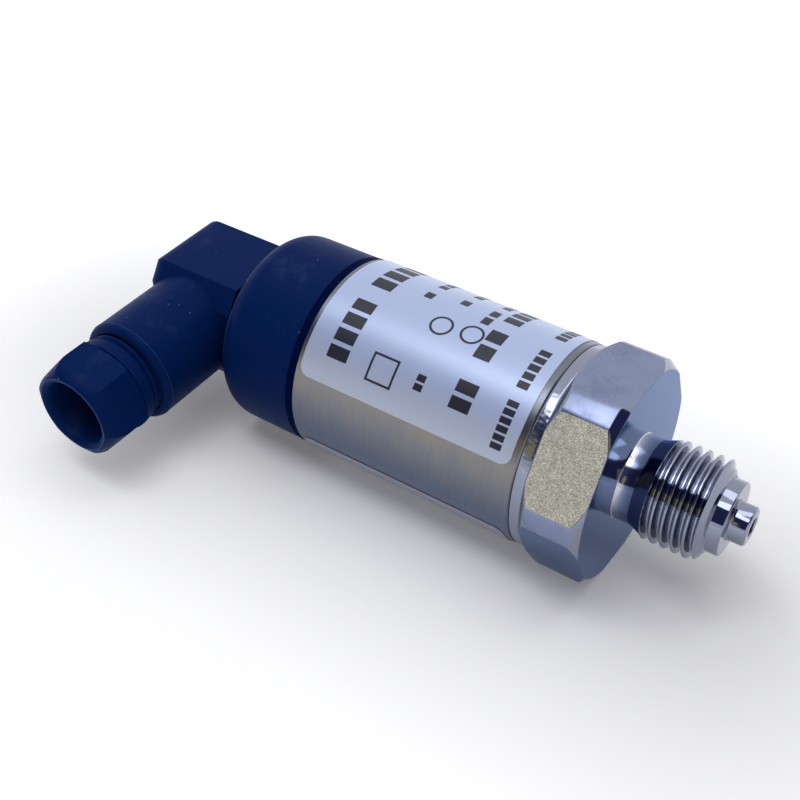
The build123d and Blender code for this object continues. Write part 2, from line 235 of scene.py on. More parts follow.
bright_steel = steel("turned stainless steel, bright", "#868C9E", 0.07, turned=0.12, cloud=0.3)
milled_steel = steel("milled stainless steel", "#808AA8", 0.34, turned=0.3, cloud=0.3, worn=0.28)
# A darker copy with a bluish tint, as painted shade and reflection: front face, thread's cone, lower flat
shaded_steel = steel("stainless steel, darkened as painted shade", "#616989", 0.12, turned=0.1, cloud=0.3, tint="#DCEAFF")
# A brighter copy for the neck, so that its reflections are lighter, as painted light
brightened_steel = steel("turned stainless steel, neck, brightened as painted light", "#B9BCC4", 0.12, turned=0.2, cloud=0.3)
# A dark copy for the bore, as painted shade in the hole
shaded_bore_steel = steel("bored stainless steel, darkened as painted shade", "#2C3040", 0.5, turned=0.3, cloud=0.2)

# Angles from the middle of a flat, denser where the chamfer and the lands curve away from it
face_edge = math.degrees(math.acos(HEX_FLAT / HEX_FACE_R))
land_edge = math.degrees(math.acos(HEX_FLAT / LAND_R))
from_flat = [-30 + (30 - land_edge) * k / 3 for k in range(3)]
from_flat += [-land_edge + (land_edge - face_edge) * k / 5 for k in range(5)]
from_flat += [-face_edge + 2 * face_edge * k / 10 for k in range(10)]
from_flat += [face_edge + (land_edge - face_edge) * k / 5 for k in range(5)]
from_flat += [land_edge + (30 - land_edge) * k / 3 for k in range(3)]
stem_angles = [30 + 60 * side + a for side in range(6) for a in from_flat]
hex_r = [min(LAND_R, HEX_FLAT / math.cos(math.radians(a))) for side in range(6) for a in from_flat]


def set_back(r):
    """How far the hexagon's chamfer lies behind its face at this radius."""
    return max(0.0, r - HEX_FACE_R) / (LAND_R - HEX_FACE_R) * HEX_CHAMFER


def chamfer_start(x):
    """The rim of a face of the hexagon, where its chamfer starts."""
    return [(x, min(r, HEX_FACE_R)) for r in hex_r]


def chamfer_end(x, inward):
    """Where the flats and lands end on the chamfer; inward is the way along x to the hexagon's middle."""
    return [(x + inward * set_back(r), r) for r in hex_r]


stem = skin("stem", [
    (PIN_FRONT, CHANNEL_R + 0.15),
    (PIN_FRONT, PIN_R - 0.3),
    (PIN_FRONT - 0.25, PIN_R),
    (PILOT_FRONT + 0.35, PIN_R),
    (PILOT_FRONT + 0.1, PIN_R + 0.1),
    (PILOT_FRONT, PIN_R + 0.3),
    (PILOT_FRONT, PILOT_R - 0.15),
    (PILOT_FRONT - 0.15, PILOT_R),
    (THREAD_FRONT - 0.1, PILOT_R),
    (THREAD_FRONT - 0.2, THREAD_CORE_R - 0.4),
    (THREAD_FRONT - 0.6, THREAD_CORE_R),
    (THREAD_BACK + 0.4, THREAD_CORE_R),
    (THREAD_BACK + 0.05, RUN_OUT_R - 0.22),
    (THREAD_BACK - 0.05, RUN_OUT_R),
    (CONE_BACK + 0.5, NECK_R + 0.14),
    (CONE_BACK, NECK_R),
    (HEX_FRONT + 0.12, NECK_R),
    (HEX_FRONT + 0.03, NECK_R + 0.03),
    (HEX_FRONT, NECK_R + 0.12),
    chamfer_start(HEX_FRONT),
    chamfer_end(HEX_FRONT, -1),
    chamfer_end(HEX_BACK, 1),
    chamfer_start(HEX_BACK),
    (HEX_BACK, WELD_CORE_R),
    (REGISTER_BACK, REGISTER_R),
    (REGISTER_BACK, CHANNEL_R),
    (PIN_FRONT - 0.15, CHANNEL_R),
], stem_angles, on_stem, bright_steel)
for finish in (milled_steel, shaded_steel, shaded_bore_steel, brightened_steel):
    stem.data.materials.append(finish)
MILLED, SHADED, SHADED_BORE, BRIGHTENED = 1, 2, 3, 4
for polygon in stem.data.polygons:
    x = polygon.center.x / MM
    reach = math.hypot(polygon.center.y, polygon.center.z) / MM
    lengthways = abs(polygon.normal.x) < 0.1
    lower_flat = polygon.normal.y < 0 and abs(polygon.normal.z + 0.5) < 0.01
    if lengthways and reach > 0.9 * HEX_FLAT:
        # The flat below the frosted one takes the darker steel of the front face, as painted shade, with its
        # smoother finish
        polygon.material_index = SHADED if lower_flat else MILLED
    # The front face takes the darker steel, as painted shade
    elif polygon.normal.x > 0.999 and abs(x - HEX_FRONT) < 0.01:
        polygon.material_index = SHADED
    elif lengthways and reach < 1.1 * CHANNEL_R:
        polygon.material_index = SHADED_BORE
    # The cone behind the thread takes the darker steel, as painted shade, and the neck the brighter, as
    # painted light
    elif HEX_FRONT < x < THREAD_BACK - 0.1 and reach < 1.15 * NECK_R:
        polygon.material_index = SHADED if x > CONE_BACK else BRIGHTENED
break_edges(stem, EDGE_BREAK)
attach(stem, "transmitter")
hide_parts("process_connection")

# Frosted flat: the flat of the hexagon that faces the gland's side was blasted with grit.
# It is a skin 0.01 mm proud of that flat, matt and grained, a little warm in colour.
# The pits scatter part of its light as a matt surface does, so it is not metallic all through.
FROST_NORMAL = 150
FROST_PROUD = 0.01
FROST_INSET = 0.08
FROST_DEPTH = 0.03
frosted_steel, tree, shader = new_material("stainless steel, blasted", Metallic=0.6, Roughness=0.6)
where = add_node(tree, "ShaderNodeTexCoord").outputs["Object"]
# Blasting grit leaves pits of about 0.1 mm; they are drawn at 0.2 mm so that they show
grit = add_node(tree, "ShaderNodeTexNoise", {
    "Vector": where,
    "Scale": 6200.0,
    "Detail": 4.0,
    "Roughness": 0.8,
})
# The jet went over the flat unevenly, so that it is a little darker in patches of about 1 mm
patches = add_node(tree, "ShaderNodeTexNoise", {"Vector": where, "Scale": 1100.0, "Detail": 4.0})
uneven = add_node(tree, "ShaderNodeMath", {
    0: patches.outputs["Fac"],
    1: 0.16,
    2: grit.outputs["Fac"],
}, operation="MULTIPLY_ADD")
ramp = add_node(tree, "ShaderNodeValToRGB", {"Fac": uneven.outputs[0]})
ramp.color_ramp.elements[0].position = 0.45
ramp.color_ramp.elements[0].color = colour("#8A8778")
ramp.color_ramp.elements[1].position = 0.72
ramp.color_ramp.elements[1].color = colour("#F8F7EA")
tree.links.new(ramp.outputs[0], shader.inputs["Base Color"])
bump = add_node(tree, "ShaderNodeBump", {
    "Height": grit.outputs["Fac"],
    "Strength": 0.6,
    "Distance": 0.00006,
})
tree.links.new(bump.outputs[0], shader.inputs["Normal"])
frost_bm = bmesh.new()
frost_low = []
frost_high = []
for a in [-land_edge + 2 * land_edge * k / 48 for k in range(49)]:
    r = HEX_FLAT / math.cos(math.radians(a))
    over = set_back(r)
    r *= (HEX_FLAT + FROST_PROUD) / HEX_FLAT
    a = FROST_NORMAL + a * 0.985
    frost_low.append(frost_bm.verts.new(on_stem(HEX_FRONT - FROST_INSET - over, r, a)))
    frost_high.append(frost_bm.verts.new(on_stem(HEX_BACK + FROST_INSET + over, r, a)))
outline = frost_low + frost_high[::-1]
frost_bm.faces.new(outline)
depth = on_stem(0, FROST_DEPTH, FROST_NORMAL)
inner_outline = [frost_bm.verts.new(vert.co - depth) for vert in outline]
frost_bm.faces.new(inner_outline[::-1])
for i in range(len(outline)):
    j = (i + 1) % len(outline)
    frost_bm.faces.new((outline[i], inner_outline[i], inner_outline[j], outline[j]))
frosted_flat = finish_mesh(frost_bm, "frosted_flat", frosted_steel)
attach(frosted_flat, "transmitter")

# Threads: cut on the stem, right-handed, and moulded on the gland nut's shank.
# One node tree makes both: it rolls a grid into a tube and lets its radius follow the thread's flanks.
# Each end is cut back by a cone, as the lead chamfer and the run-out are.
thread_tree = bpy.data.node_groups.new("cut thread", "GeometryNodeTree")
thread_tree.interface.new_socket("Geometry", in_out="OUTPUT", socket_type="NodeSocketGeometry")
for socket_name, socket_type in [
    ("Start", "NodeSocketFloat"),
    ("End", "NodeSocketFloat"),
    ("Pitch", "NodeSocketFloat"),
    ("Crest radius", "NodeSocketFloat"),
    ("Root radius", "NodeSocketFloat"),
    ("Crest at", "NodeSocketFloat"),
    ("Start radius", "NodeSocketFloat"),
    ("Start slope", "NodeSocketFloat"),
    ("End radius", "NodeSocketFloat"),
    ("End slope", "NodeSocketFloat"),
    ("Around", "NodeSocketInt"),
    ("Along", "NodeSocketInt"),
    ("Material", "NodeSocketMaterial"),
]:
    thread_tree.interface.new_socket(socket_name, in_out="INPUT", socket_type=socket_type)
given = add_node(thread_tree, "NodeGroupInput").outputs


def reckon(operation, *values):
    """The value of one sum in the thread's tree."""
    return add_node(thread_tree, "ShaderNodeMath", dict(enumerate(values)), operation=operation).outputs[0]


sheet = add_node(thread_tree, "GeometryNodeMeshGrid", {
    "Size X": 1.0,
    "Size Y": 1.0,
    "Vertices X": reckon("ADD", given["Around"], 1.0),
    "Vertices Y": reckon("ADD", given["Along"], 1.0),
})
spot = add_node(thread_tree, "GeometryNodeInputPosition")
spot = add_node(thread_tree, "ShaderNodeSeparateXYZ", {"Vector": spot.outputs[0]})
turn = reckon("ADD", spot.outputs["X"], 0.5)
share = reckon("ADD", spot.outputs["Y"], 0.5)
run = reckon("SUBTRACT", given["End"], given["Start"])
along = reckon("ADD", given["Start"], reckon("MULTIPLY", share, run))
pitches = reckon("DIVIDE", reckon("SUBTRACT", along, given["Crest at"]), given["Pitch"])
# Whole pitches are added so that the sum stays above zero; the half puts a crest, not a root, at Crest at
phase = reckon("FRACT", reckon("ADD", reckon("SUBTRACT", pitches, turn), 200.5))
flank = reckon("SUBTRACT", 1.0, reckon("ABSOLUTE", reckon("SUBTRACT", reckon("MULTIPLY", phase, 2.0), 1.0)))
height = add_node(thread_tree, "ShaderNodeMapRange", {
    "Value": flank,
    "From Min": 0.1,
    "From Max": 0.9,
    "To Min": given["Root radius"],
    "To Max": given["Crest radius"],
}, interpolation_type="SMOOTHSTEP").outputs[0]
from_start = reckon("ABSOLUTE", reckon("SUBTRACT", along, given["Start"]))
from_end = reckon("ABSOLUTE", reckon("SUBTRACT", along, given["End"]))
start_cone = reckon("MULTIPLY_ADD", from_start, given["Start slope"], given["Start radius"])
end_cone = reckon("MULTIPLY_ADD", from_end, given["End slope"], given["End radius"])
radius = reckon("MINIMUM", reckon("MINIMUM", height, start_cone), end_cone)
angle = reckon("MULTIPLY", turn, 2 * math.pi)
rolled = add_node(thread_tree, "ShaderNodeCombineXYZ", {
    "X": along,
    "Y": reckon("MULTIPLY", radius, reckon("COSINE", angle)),
    "Z": reckon("MULTIPLY", radius, reckon("SINE", angle)),
})
placed = add_node(thread_tree, "GeometryNodeSetPosition", {
    "Geometry": sheet.outputs["Mesh"],
    "Position": rolled.outputs[0],
})
real = add_node(thread_tree, "GeometryNodeRealizeInstances", {"Geometry": placed.outputs[0]})
finished = add_node(thread_tree, "GeometryNodeSetMaterial", {
    "Geometry": real.outputs[0],
    "Material": given["Material"],
})
add_node(thread_tree, "NodeGroupOutput", {"Geometry": finished.outputs[0]})


def close_inside(bm, bore_r):
    """Closes a thread's tube: each rim is drawn in to the bore, and the two bore rims are joined."""
    rim = {vert for edge in bm.edges if len(edge.link_faces) == 1 for vert in edge.verts}
    middle = sum(vert.co.x for vert in rim) / len(rim)
    loops = []
    for side in (-1, 1):
        # Round the axis from just below +Y, so that no vertex lies on the cut between last and first
        ring = [vert for vert in rim if side * (vert.co.x - middle) > 0]
        ring.sort(key=lambda vert: (math.atan2(vert.co.z, vert.co.y) + 0.01) % (2 * math.pi))
        bore = []
        for vert in ring:
            scale = bore_r / math.hypot(vert.co.y, vert.co.z)
            bore.append(bm.verts.new((vert.co.x, vert.co.y * scale, vert.co.z * scale)))
        loops += [ring, bore] if side < 0 else [bore, ring]
    for low, high in zip(loops, loops[1:]):
        for i in range(len(low)):
            j = (i + 1) % len(low)
            bm.faces.new((low[i], low[j], high[j], high[i]))


def cut_thread(name, place, **values):
    """A thread from the tree, closed inside and put in place by a matrix. Lengths are in millimetres."""
    holder = bpy.data.objects.new(name, bpy.data.meshes.new(name))
    bpy.context.scene.collection.objects.link(holder)
    modifier = holder.modifiers.new("thread", "NODES")
    modifier.node_group = thread_tree
    sizes = {"Around": 144, "Along": 300}
    sizes.update((key.replace("_", " "), value) for key, value in values.items())
    for item in thread_tree.interface.items_tree:
        if item.in_out == "INPUT" and item.name in sizes:
            value = sizes[item.name]
            is_length = item.socket_type == "NodeSocketFloat" and "slope" not in item.name
            modifier[item.identifier] = value * MM if is_length else value
    graph = bpy.context.evaluated_depsgraph_get()
    mesh = bpy.data.meshes.new_from_object(holder.evaluated_get(graph))
    holder.modifiers.clear()
    bm = bmesh.new()
    bm.from_mesh(mesh)
    bmesh.ops.remove_doubles(bm, verts=bm.verts, dist=1e-6)
    close_inside(bm, 0.8 * values["Root_radius"] * MM)
    bm.transform(place)
    bmesh.ops.recalc_face_normals(bm, faces=bm.faces)
    for face in bm.faces:
        face.smooth = True
    mark_sharp(bm, 40.0)
    bm.to_mesh(mesh)
    bm.free()
    holder.data = mesh
    return holder


stem_thread = cut_thread(
    "stem_thread",
    Matrix.Identity(4),
    Start=THREAD_FRONT,
    End=THREAD_BACK,
    Pitch=1.39,
    Crest_radius=6.54,
    Root_radius=5.60,
    Crest_at=-8.38,
    Start_radius=4.9,
    Start_slope=1.8,
    End_radius=6.42,
    End_slope=1.0,
    Material=bright_steel,
)
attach(stem_thread, "transmitter")

# Weld: the collar behind the hexagon, where the case tube was welded on all round.
# The bead was dressed nearly flush: it is bright, with uneven ripples, and sunk at each side.
WELD_COLUMNS = 900
WELD_INNER_R = 12.6
WELD_EDGE_R = 13.30
WELD_CROWN = 0.15
WELD_RIPPLE = 0.006
WELD_PIT = 0.10
weld_steel = steel("stainless steel, welded", "#8A90A2", 0.2, cloud=0.6)
weld_angles = [360 * k / WELD_COLUMNS for k in range(WELD_COLUMNS)]
weld_profile = [0.0, 0.04, 0.09, 0.15, 0.22, 0.32, 0.42, 0.52, 0.62, 0.72, 0.80, 0.87, 0.93, 0.97, 1.0]
weld_stations = [(COLLAR_BACK, WELD_INNER_R)]
for share in weld_profile:
    x = COLLAR_BACK + share * (HEX_BACK - COLLAR_BACK)
    dome = min(1.0, 6 * share, 6 * (1 - share)) ** 0.7
    row = []
    for a in weld_angles:
        t = math.radians(a)
        strength = 0.35 + 0.65 * max(0.0, math.sin(3 * t + 0.4) * math.sin(5 * t + 2.0))
        lean = 4.0 * (share - 0.5) + 1.2 * math.sin(9 * t)
        ripple = math.sin(97 * t + lean) + 0.7 * math.sin(141 * t - lean + 2 * math.sin(7 * t))
        pits = math.sin(211 * t + 5 * math.sin(17 * t)) * math.sin(29 * t) * max(0.0, 0.3 - share)
        relief = WELD_CROWN + WELD_RIPPLE * strength * ripple - WELD_PIT * abs(pits)
        row.append((x, WELD_EDGE_R + dome * relief))
    weld_stations.append(row)
weld_stations.append((HEX_BACK + 0.1, WELD_INNER_R))
weld = skin("weld", weld_stations, weld_angles, on_stem, weld_steel)
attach(weld, "transmitter")

# Case tube: drawn stainless tube, 27 mm outside, welded at one end and closed by the head at the other.
# It was linished on a belt as it turned, so that fine lines run round it.
# Its colour is painted by height: a warm band beside the label, as painted reflection, and darker, bluer
# steel below
TUBE_R = 13.5
TUBE_BACK = -54.92
TUBE_WALL = 1.0
tube_steel, tree, shader = new_material("stainless steel, linished", Metallic=1.0)
where = add_node(tree, "ShaderNodeTexCoord").outputs["Object"]
apart = add_node(tree, "ShaderNodeSeparateXYZ", {"Vector": where})
# Belt lines are some 0.03 mm wide; they are drawn at 0.15 mm along the tube and long round it
stretched = add_node(tree, "ShaderNodeMapping", {"Vector": where, "Scale": (1.0, 0.07, 0.07)})
lines = add_node(tree, "ShaderNodeTexNoise", {
    "Vector": stretched.outputs[0],
    "Scale": 3600.0,
    "Detail": 4.0,
    "Roughness": 0.7,
})
clouds = add_node(tree, "ShaderNodeTexNoise", {
    "Vector": where,
    "Scale": 220.0,
    "Detail": 5.0,
    "Roughness": 0.6,
})
patches = add_node(tree, "ShaderNodeMapRange", {
    "Value": clouds.outputs["Fac"],
    "From Min": 0.3,
    "From Max": 0.7,
    "To Min": 0.42,
    "To Max": 0.62,
})
# A painted warm reflection lies below the label's lower edge, rising from 4 mm below the stem's middle to 4
# mm above it
warm = add_node(tree, "ShaderNodeMapRange", {
    "Value": apart.outputs["Z"],
    "From Min": -0.004,
    "From Max": 0.004,
})
# Above 4 mm the painted warm reflection fades to half by 9 mm
cool = add_node(tree, "ShaderNodeMapRange", {
    "Value": apart.outputs["Z"],
    "From Min": 0.004,
    "From Max": 0.009,
    "To Min": 1.0,
    "To Max": 0.5,
})
both = add_node(tree, "ShaderNodeMath", {0: warm.outputs[0], 1: patches.outputs[0]}, operation="MULTIPLY")
both = add_node(tree, "ShaderNodeMath", {0: both.outputs[0], 1: cool.outputs[0]}, operation="MULTIPLY")
grain = add_node(tree, "ShaderNodeMath", {
    0: lines.outputs["Fac"],
    1: 0.35,
    2: both.outputs[0],
}, operation="MULTIPLY_ADD")
# Below the band the tube keeps this ramp's darker, bluer end, as painted shade
tint = add_node(tree, "ShaderNodeValToRGB", {"Fac": grain.outputs[0]})
tint.color_ramp.elements[0].position = 0.12
tint.color_ramp.elements[0].color = colour("#556580")
tint.color_ramp.elements[1].position = 0.75
tint.color_ramp.elements[1].color = colour("#86837F")
tree.links.new(tint.outputs[0], shader.inputs["Base Color"])
rough = add_node(tree, "ShaderNodeMapRange", {
    "Value": clouds.outputs["Fac"],
    "From Min": 0.3,
    "From Max": 0.7,
    "To Min": 0.26,
    "To Max": 0.36,
})
tree.links.new(rough.outputs[0], shader.inputs["Roughness"])
bump = add_node(tree, "ShaderNodeBump", {
    "Height": lines.outputs["Fac"],
    "Strength": 0.3,
    "Distance": 0.00003,
})
tree.links.new(bump.outputs[0], shader.inputs["Normal"])
round_angles = [360 * k / 192 for k in range(192)]
tube = skin("tube", [
    (COLLAR_BACK, TUBE_R - TUBE_WALL),
    (COLLAR_BACK, TUBE_R - 0.12),
    (COLLAR_BACK - 0.12, TUBE_R),
    (TUBE_BACK + 0.05, TUBE_R),
    (TUBE_BACK, TUBE_R - 0.05),
    (TUBE_BACK, TUBE_R - TUBE_WALL),
], round_angles, on_stem, tube_steel)
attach(tube, "transmitter")
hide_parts("case_tube")

# Label: satin metal foil 0.1 mm thick, punched with rounded corners and glued round the tube.
# It doesn't reach all the way round: its two ends leave a bare strip of tube between them.
LABEL_FRONT = -23.64
LABEL_BACK = -54.3
LABEL_START = 19.0
LABEL_END = 333.0
LABEL_CORNER = 1.4
LABEL_R = TUBE_R + 0.1
LABEL_COLUMNS = 150
foil, tree, shader = new_material(
    "foil label, satin", Metallic=0.2, Roughness=0.36, Coat_Weight=0.3, Coat_Roughness=0.25
)
# The foil's colour is painted by height: bluer on top and greyer at the middle, as painted reflection.
# Toward its lower edge, where it wraps under, it is painted darker, as painted shade.
where = add_node(tree, "ShaderNodeTexCoord").outputs["Object"]
apart = add_node(tree, "ShaderNodeSeparateXYZ", {"Vector": where})
up = add_node(tree, "ShaderNodeMapRange", {
    "Value": apart.outputs["Z"],
    "From Min": -0.008,
    "From Max": 0.010,
})
ramp = add_node(tree, "ShaderNodeValToRGB", {"Fac": up.outputs[0]})
ramp.color_ramp.elements[0].color = colour("#868CA4")
ramp.color_ramp.elements[1].color = colour("#BBCCF4")
ramp.color_ramp.elements.new(0.5).color = colour("#C6CCD6")
tree.links.new(ramp.outputs[0], shader.inputs["Base Color"])
label_bm = bmesh.new()
label_length = math.radians(LABEL_END - LABEL_START) * LABEL_R
from_end = [0.0, 0.04, 0.12, 0.25, 0.42, 0.65, 0.95, LABEL_CORNER]
straight = label_length - 2 * LABEL_CORNER
spots = from_end + [LABEL_CORNER + straight * k / LABEL_COLUMNS for k in range(1, LABEL_COLUMNS)]
spots += [label_length - s for s in reversed(from_end)]
label_rows = []
for s in spots:
    inset = min(s, label_length - s, LABEL_CORNER)
    inset = LABEL_CORNER - math.sqrt(LABEL_CORNER ** 2 - (LABEL_CORNER - inset) ** 2)
    a = 180 - LABEL_START - math.degrees(s / LABEL_R)
    low, high = LABEL_BACK + inset, LABEL_FRONT - inset
    label_rows.append([
        label_bm.verts.new(on_stem(low, TUBE_R, a)),
        label_bm.verts.new(on_stem(low, LABEL_R, a)),
        label_bm.verts.new(on_stem(high, LABEL_R, a)),
        label_bm.verts.new(on_stem(high, TUBE_R, a)),
    ])
for one, two in zip(label_rows, label_rows[1:]):
    for i in range(4):
        j = (i + 1) % 4
        label_bm.faces.new((one[i], one[j], two[j], two[i]))
label_bm.faces.new(label_rows[0])
label_bm.faces.new(label_rows[-1][::-1])
label = finish_mesh(label_bm, "label", foil)
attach(label, "transmitter")
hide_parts("type_label")

# Print: plain bars and rings in the places of a type label's fields, wrapped on the foil.
# Screen-printed ink in blue-black, 0.01 mm above the foil; the fields themselves are generic.
ink = plain_material("screen ink, blue-black", "#10182F", Roughness=0.45)
PRINT_R = LABEL_R + 0.01
PRINT_FOOT_R = LABEL_R - 0.02
INKED_SHARE = 0.74
# Each row of blocks: its front, its width along the stem, its start and end in degrees from -Y toward +Z,
# and the number of its blocks
bars = [
    (-48.2, 3.0, 34, 73, 4),
    (-48.2, 3.0, 82, 150, 6),
    (-43.1, 1.2, 89, 97, 1),
    (-43.1, 1.2, 104, 150, 6),
    (-38.6, 1.2, 95, 103, 1),
    (-38.6, 1.2, 110, 150, 5),
    (-34.4, 1.2, 86, 104, 2),
    (-34.4, 1.2, 110, 150, 5),
    (-37.3, 1.2, 36, 46, 2),
    (-31.2, 2.3, 64, 88, 2),
    (-31.2, 2.3, 95, 150, 6),
    (-25.2, 1.5, 25, 52, 6),
    (-25.2, 1.5, 58, 86, 5),
    (-25.2, 1.5, 98, 150, 9),
    (-30.6, 2.8, 35, 53, 2),
]
ink_bm = bmesh.new()


def ink_strip(points):
    """A closed thin strip of ink; points are pairs of (x, angle) for its two edges."""
    rows = []
    for low, high in points:
        corners = [(low, PRINT_R), (high, PRINT_R), (high, PRINT_FOOT_R), (low, PRINT_FOOT_R)]
        rows.append([ink_bm.verts.new(on_stem(x, r, 180 - angle)) for (x, angle), r in corners])
    for one, two in zip(rows, rows[1:]):
        for i in range(4):
            j = (i + 1) % 4
            ink_bm.faces.new((one[i], one[j], two[j], two[i]))
    if points[0] != points[-1]:
        ink_bm.faces.new(rows[0])
        ink_bm.faces.new(rows[-1][::-1])


for front, width, first, last, blocks in bars:
    pitch = (last - first) / blocks
    for block in range(blocks):
        start = first + block * pitch
        angles = [start + INKED_SHARE * pitch * k / 5 for k in range(6)]
        ink_strip([((front - width, a), (front, a)) for a in angles])
RING_R = 1.55
RING_WIDTH = 0.32
for ring_x, ring_angle in [(-39.3, 74), (-35.2, 76)]:
    ring = []
    for k in range(41):
        t = 2 * math.pi * (k % 40) / 40
        pair = []
        for r in (RING_R - RING_WIDTH, RING_R):
            pair.append((ring_x + r * math.cos(t), ring_angle + math.degrees(r * math.sin(t) / PRINT_R)))
        ring.append(tuple(pair))
    ink_strip(ring)
BOX_X = -43.2
BOX_ANGLE = 38.5
BOX_HALF = 1.9
BOX_INNER = 1.6
per_mm = math.degrees(1 / PRINT_R)
for sign in (-1, 1):
    low, high = sorted((BOX_HALF * sign, BOX_INNER * sign))
    ends = [BOX_ANGLE + low * per_mm, BOX_ANGLE + high * per_mm]
    ink_strip([((BOX_X - BOX_HALF, a), (BOX_X + BOX_HALF, a)) for a in ends])
    sides = [BOX_ANGLE + BOX_INNER * per_mm * k / 6 for k in range(-6, 7)]
    ink_strip([((BOX_X + low, a), (BOX_X + high, a)) for a in sides])
label_print = finish_mesh(ink_bm, "label_print", ink)
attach(label_print, "transmitter")

# Head: a moulded cup of glass-filled polyamide, black with a blue cast in this light.
# A thin lip meets the tube, and the far shoulder is rounded down to a crisp edge on the end face.
HEAD_BACK = -67.60
HEAD_R = 13.37
LIP_R = 13.45
HEAD_SHOULDER = 3.5
HEAD_EDGE_R = 12.2
HEAD_INNER_R = 12.6
HEAD_OPENING_R = 8.55
HEAD_WALL = 3.1
# Width of the pale band on the shoulder's crisp edge, a painted highlight
SHOULDER_HIGHLIGHT = math.radians(1.8)


def moulded_plastic(name, base, roughness, shine=0.035):
    """Moulded plastic: dark and satin, with its mould's fine grain, a little dust and a few pale specks."""
    material, tree, shader = new_material(name, Roughness=roughness, IOR=1.53, Specular_IOR_Level=shine)
    where = add_node(tree, "ShaderNodeTexCoord")
    # Mould grain of about 0.05 mm, drawn at 0.12 mm so that it shows
    grain = add_node(tree, "ShaderNodeTexNoise", {
        "Vector": where.outputs["Object"],
        "Scale": 7000.0,
        "Detail": 2.0,
    })
    bump = add_node(tree, "ShaderNodeBump", {
        "Height": grain.outputs["Fac"],
        "Strength": 0.12,
        "Distance": 0.00002,
    })
    tree.links.new(bump.outputs[0], shader.inputs["Normal"])
    # Dust lies in faint patches of a few millimetres on what faces up
    patches = add_node(tree, "ShaderNodeTexNoise", {
        "Vector": where.outputs["Object"],
        "Scale": 170.0,
        "Detail": 6.0,
        "Roughness": 0.75,
    })
    apart = add_node(tree, "ShaderNodeSeparateXYZ", {"Vector": where.outputs["Normal"]})
    up = add_node(tree, "ShaderNodeMapRange", {
        "Value": apart.outputs["Z"],
        "From Min": 0.2,
        "From Max": 0.9,
    })
    thick = add_node(tree, "ShaderNodeMapRange", {
        "Value": patches.outputs["Fac"],
        "From Min": 0.54,
        "From Max": 0.76,
        "To Max": 0.07,
    })
    dust = add_node(tree, "ShaderNodeMath", {0: up.outputs[0], 1: thick.outputs[0]}, operation="MULTIPLY")
    # Specks are 0.1 mm across or less, one in a few square millimetres
    cells = add_node(tree, "ShaderNodeTexVoronoi", {"Vector": where.outputs["Object"], "Scale": 750.0})
    pick = add_node(tree, "ShaderNodeSeparateColor", {"Color": cells.outputs["Color"]})
    reach = add_node(tree, "ShaderNodeMath", {0: pick.outputs["Red"], 1: 0.09}, operation="MULTIPLY")
    speck = add_node(tree, "ShaderNodeMath", {
        0: cells.outputs["Distance"],
        1: reach.outputs[0],
    }, operation="LESS_THAN")
    few = add_node(tree, "ShaderNodeMath", {0: pick.outputs["Green"], 1: 0.4}, operation="LESS_THAN")
    speck = add_node(tree, "ShaderNodeMath", {0: speck.outputs[0], 1: few.outputs[0]}, operation="MULTIPLY")
    speck = add_node(tree, "ShaderNodeMath", {0: speck.outputs[0], 1: 0.35}, operation="MULTIPLY")
    share = add_node(tree, "ShaderNodeMath", {0: dust.outputs[0], 1: speck.outputs[0]}, operation="MAXIMUM")
    tree.links.new(mix_colours(tree, share.outputs[0], base, "#8FA3CC"), shader.inputs["Base Color"])
    return material


black_plastic = moulded_plastic("polyamide, blue-black", "#02235C", 0.44)
# The lip is a darker copy, as painted shade
lip_shade_plastic = moulded_plastic("polyamide, blue-black, lip in painted shade", "#01103C", 0.6, shine=0.01)
# A pale copy for the shoulder's crisp edge, as a painted highlight
rim_highlight_plastic = moulded_plastic("polyamide, painted highlight on the end edge", "#9FB3DC", 0.4)
# A pale copy for thin edges, as a painted highlight
edge_highlight_plastic = moulded_plastic("polyamide, painted highlight on edges", "#34528E", 0.4)
shoulder_middle = HEAD_R - HEAD_SHOULDER
shoulder_turn = math.acos((HEAD_EDGE_R - shoulder_middle) / HEAD_SHOULDER)
shoulder_x = HEAD_BACK + HEAD_SHOULDER * math.sin(shoulder_turn)
shoulder = []
for t in [(shoulder_turn - SHOULDER_HIGHLIGHT) * k / 12 for k in range(13)] + [shoulder_turn]:
    x = shoulder_x - HEAD_SHOULDER * math.sin(t)
    shoulder.append((x, shoulder_middle + HEAD_SHOULDER * math.cos(t)))
head = skin("head", [
    (TUBE_BACK, HEAD_INNER_R),
    (TUBE_BACK, LIP_R - 0.06),
    (TUBE_BACK - 0.06, LIP_R),
    (TUBE_BACK - 0.95, LIP_R),
    (TUBE_BACK - 1.0, LIP_R - 0.14),
    (TUBE_BACK - 1.1, LIP_R - 0.14),
    (TUBE_BACK - 1.2, HEAD_R - 0.02),
    (TUBE_BACK - 1.3, HEAD_R + 0.03),
] + shoulder + [
    (HEAD_BACK, HEAD_OPENING_R + 0.1),
    (HEAD_BACK + 0.1, HEAD_OPENING_R),
    (HEAD_BACK + HEAD_WALL, HEAD_OPENING_R),
    (HEAD_BACK + HEAD_WALL, HEAD_INNER_R),
], round_angles, on_stem, black_plastic)
head.data.materials.append(rim_highlight_plastic)
head.data.materials.append(lip_shade_plastic)
for polygon in head.data.polygons:
    reach = math.hypot(polygon.center.y, polygon.center.z) / MM
    lean = math.asin(max(-1.0, min(1.0, -polygon.normal.x)))
    # The lip and the groove behind it take the darker plastic, as painted shade
    if polygon.center.x / MM > TUBE_BACK - 1.15 and reach > LIP_R - 0.3:
        polygon.material_index = 2
    # The band on the shoulder's crisp edge takes the pale plastic, as a painted highlight
    elif shoulder_turn - SHOULDER_HIGHLIGHT < lean < shoulder_turn:
        polygon.material_index = 1
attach(head, "transmitter")
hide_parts("head_cap")

